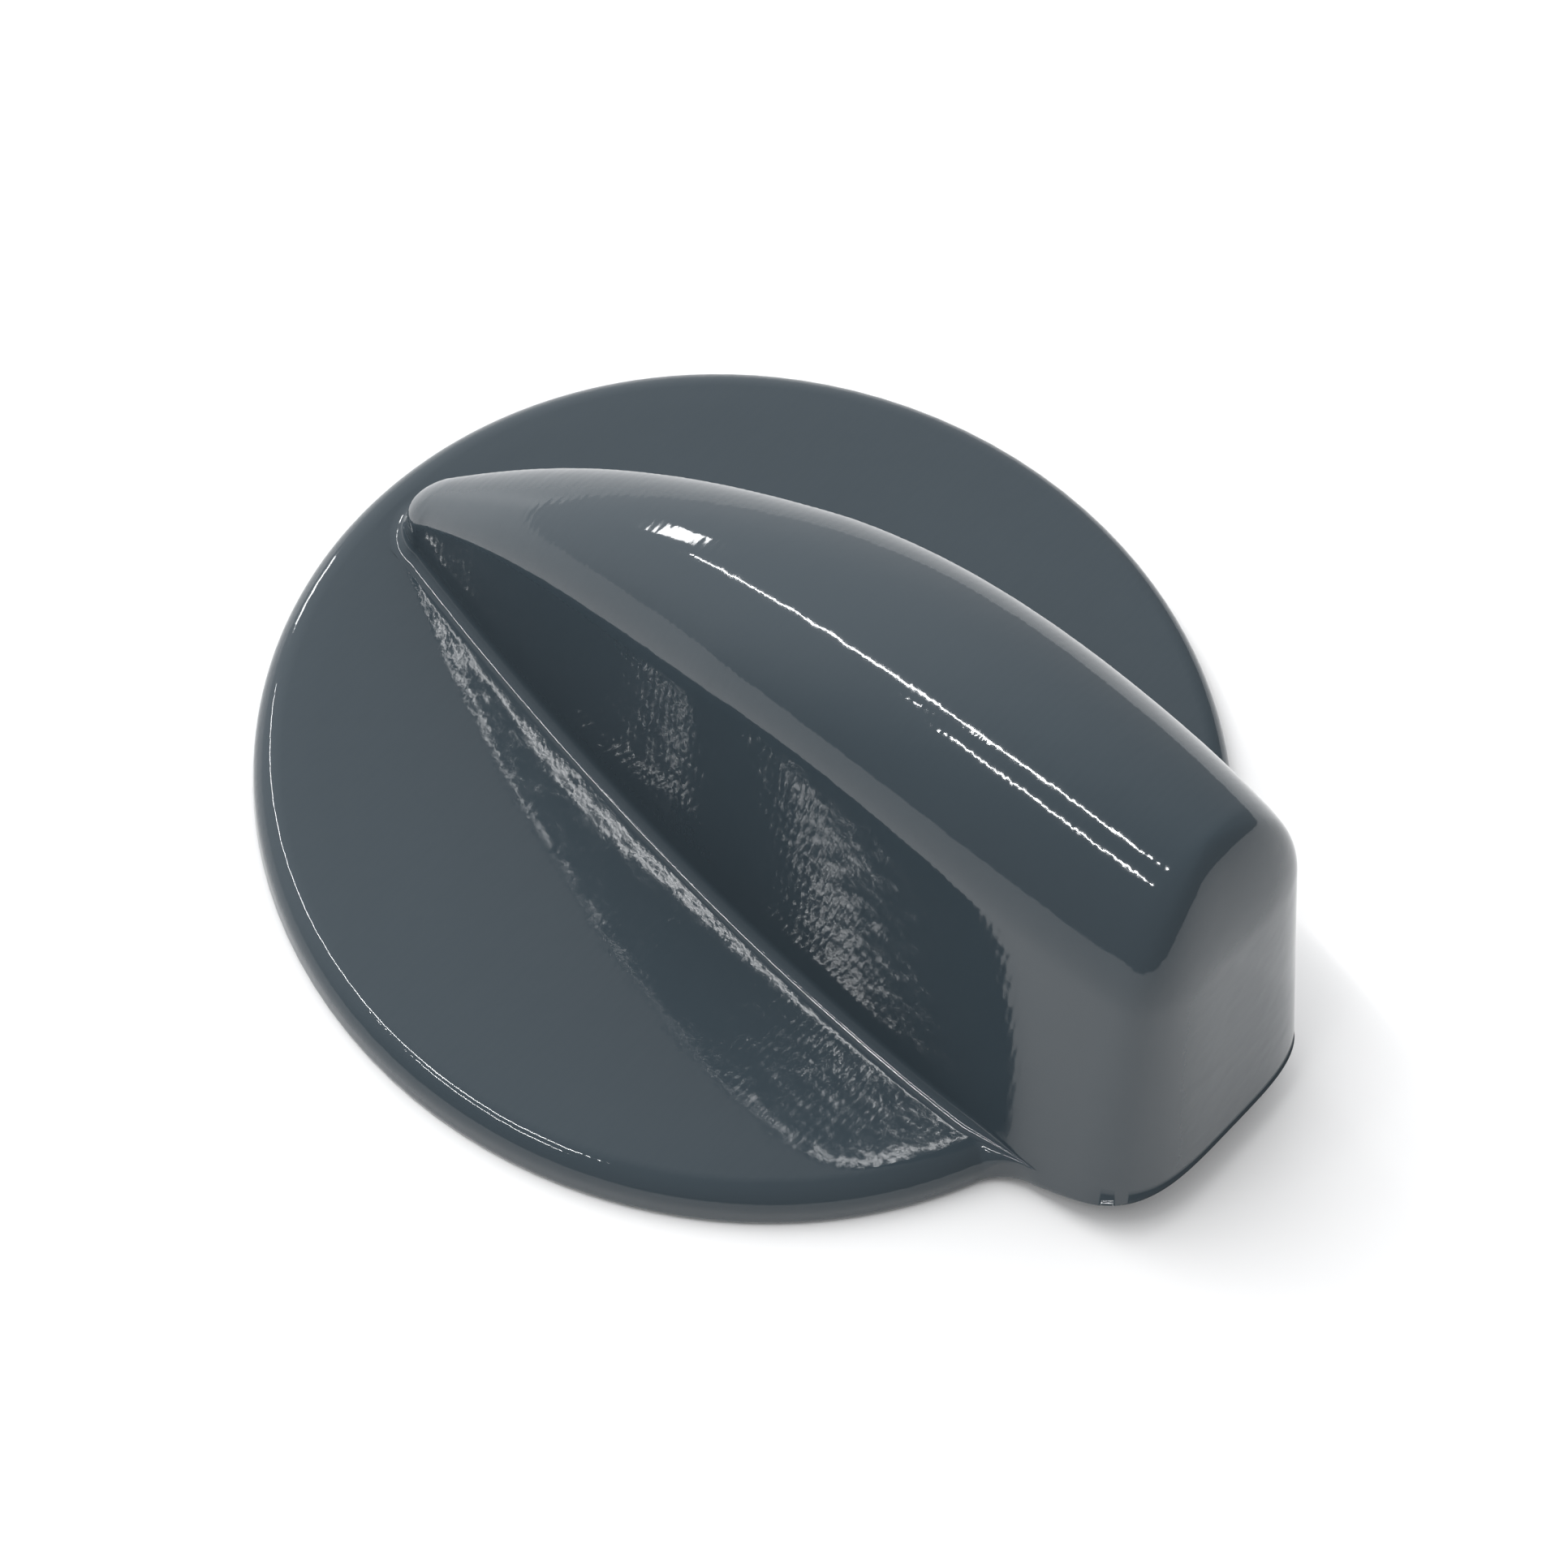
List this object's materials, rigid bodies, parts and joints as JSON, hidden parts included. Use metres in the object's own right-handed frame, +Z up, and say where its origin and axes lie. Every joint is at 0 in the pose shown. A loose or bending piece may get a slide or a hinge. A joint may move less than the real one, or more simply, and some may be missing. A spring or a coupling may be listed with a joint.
{
  "type": "washing machine knob",
  "caption": "Push-on rotary knob for a washing machine: round disc with a tall wing-shaped grip, pointed at the rim and blunt beyond it, on a flatted shaft socket.",
  "frame": {"origin": "on the shaft axis, in the plane of the rest ring under the disc", "axes": "+Z up along the shaft axis towards the grip's ridge, +Y towards the grip's pointed tip, +X to the right seen from above with the tip pointing away"},
  "size_m": [0.05, 0.0563, 0.0253],
  "materials": {
    "knob_plastic": "gloss"
  },
  "bodies": {
    "root": {"knob_body": "knob_plastic"}
  },
  "joints": []
}
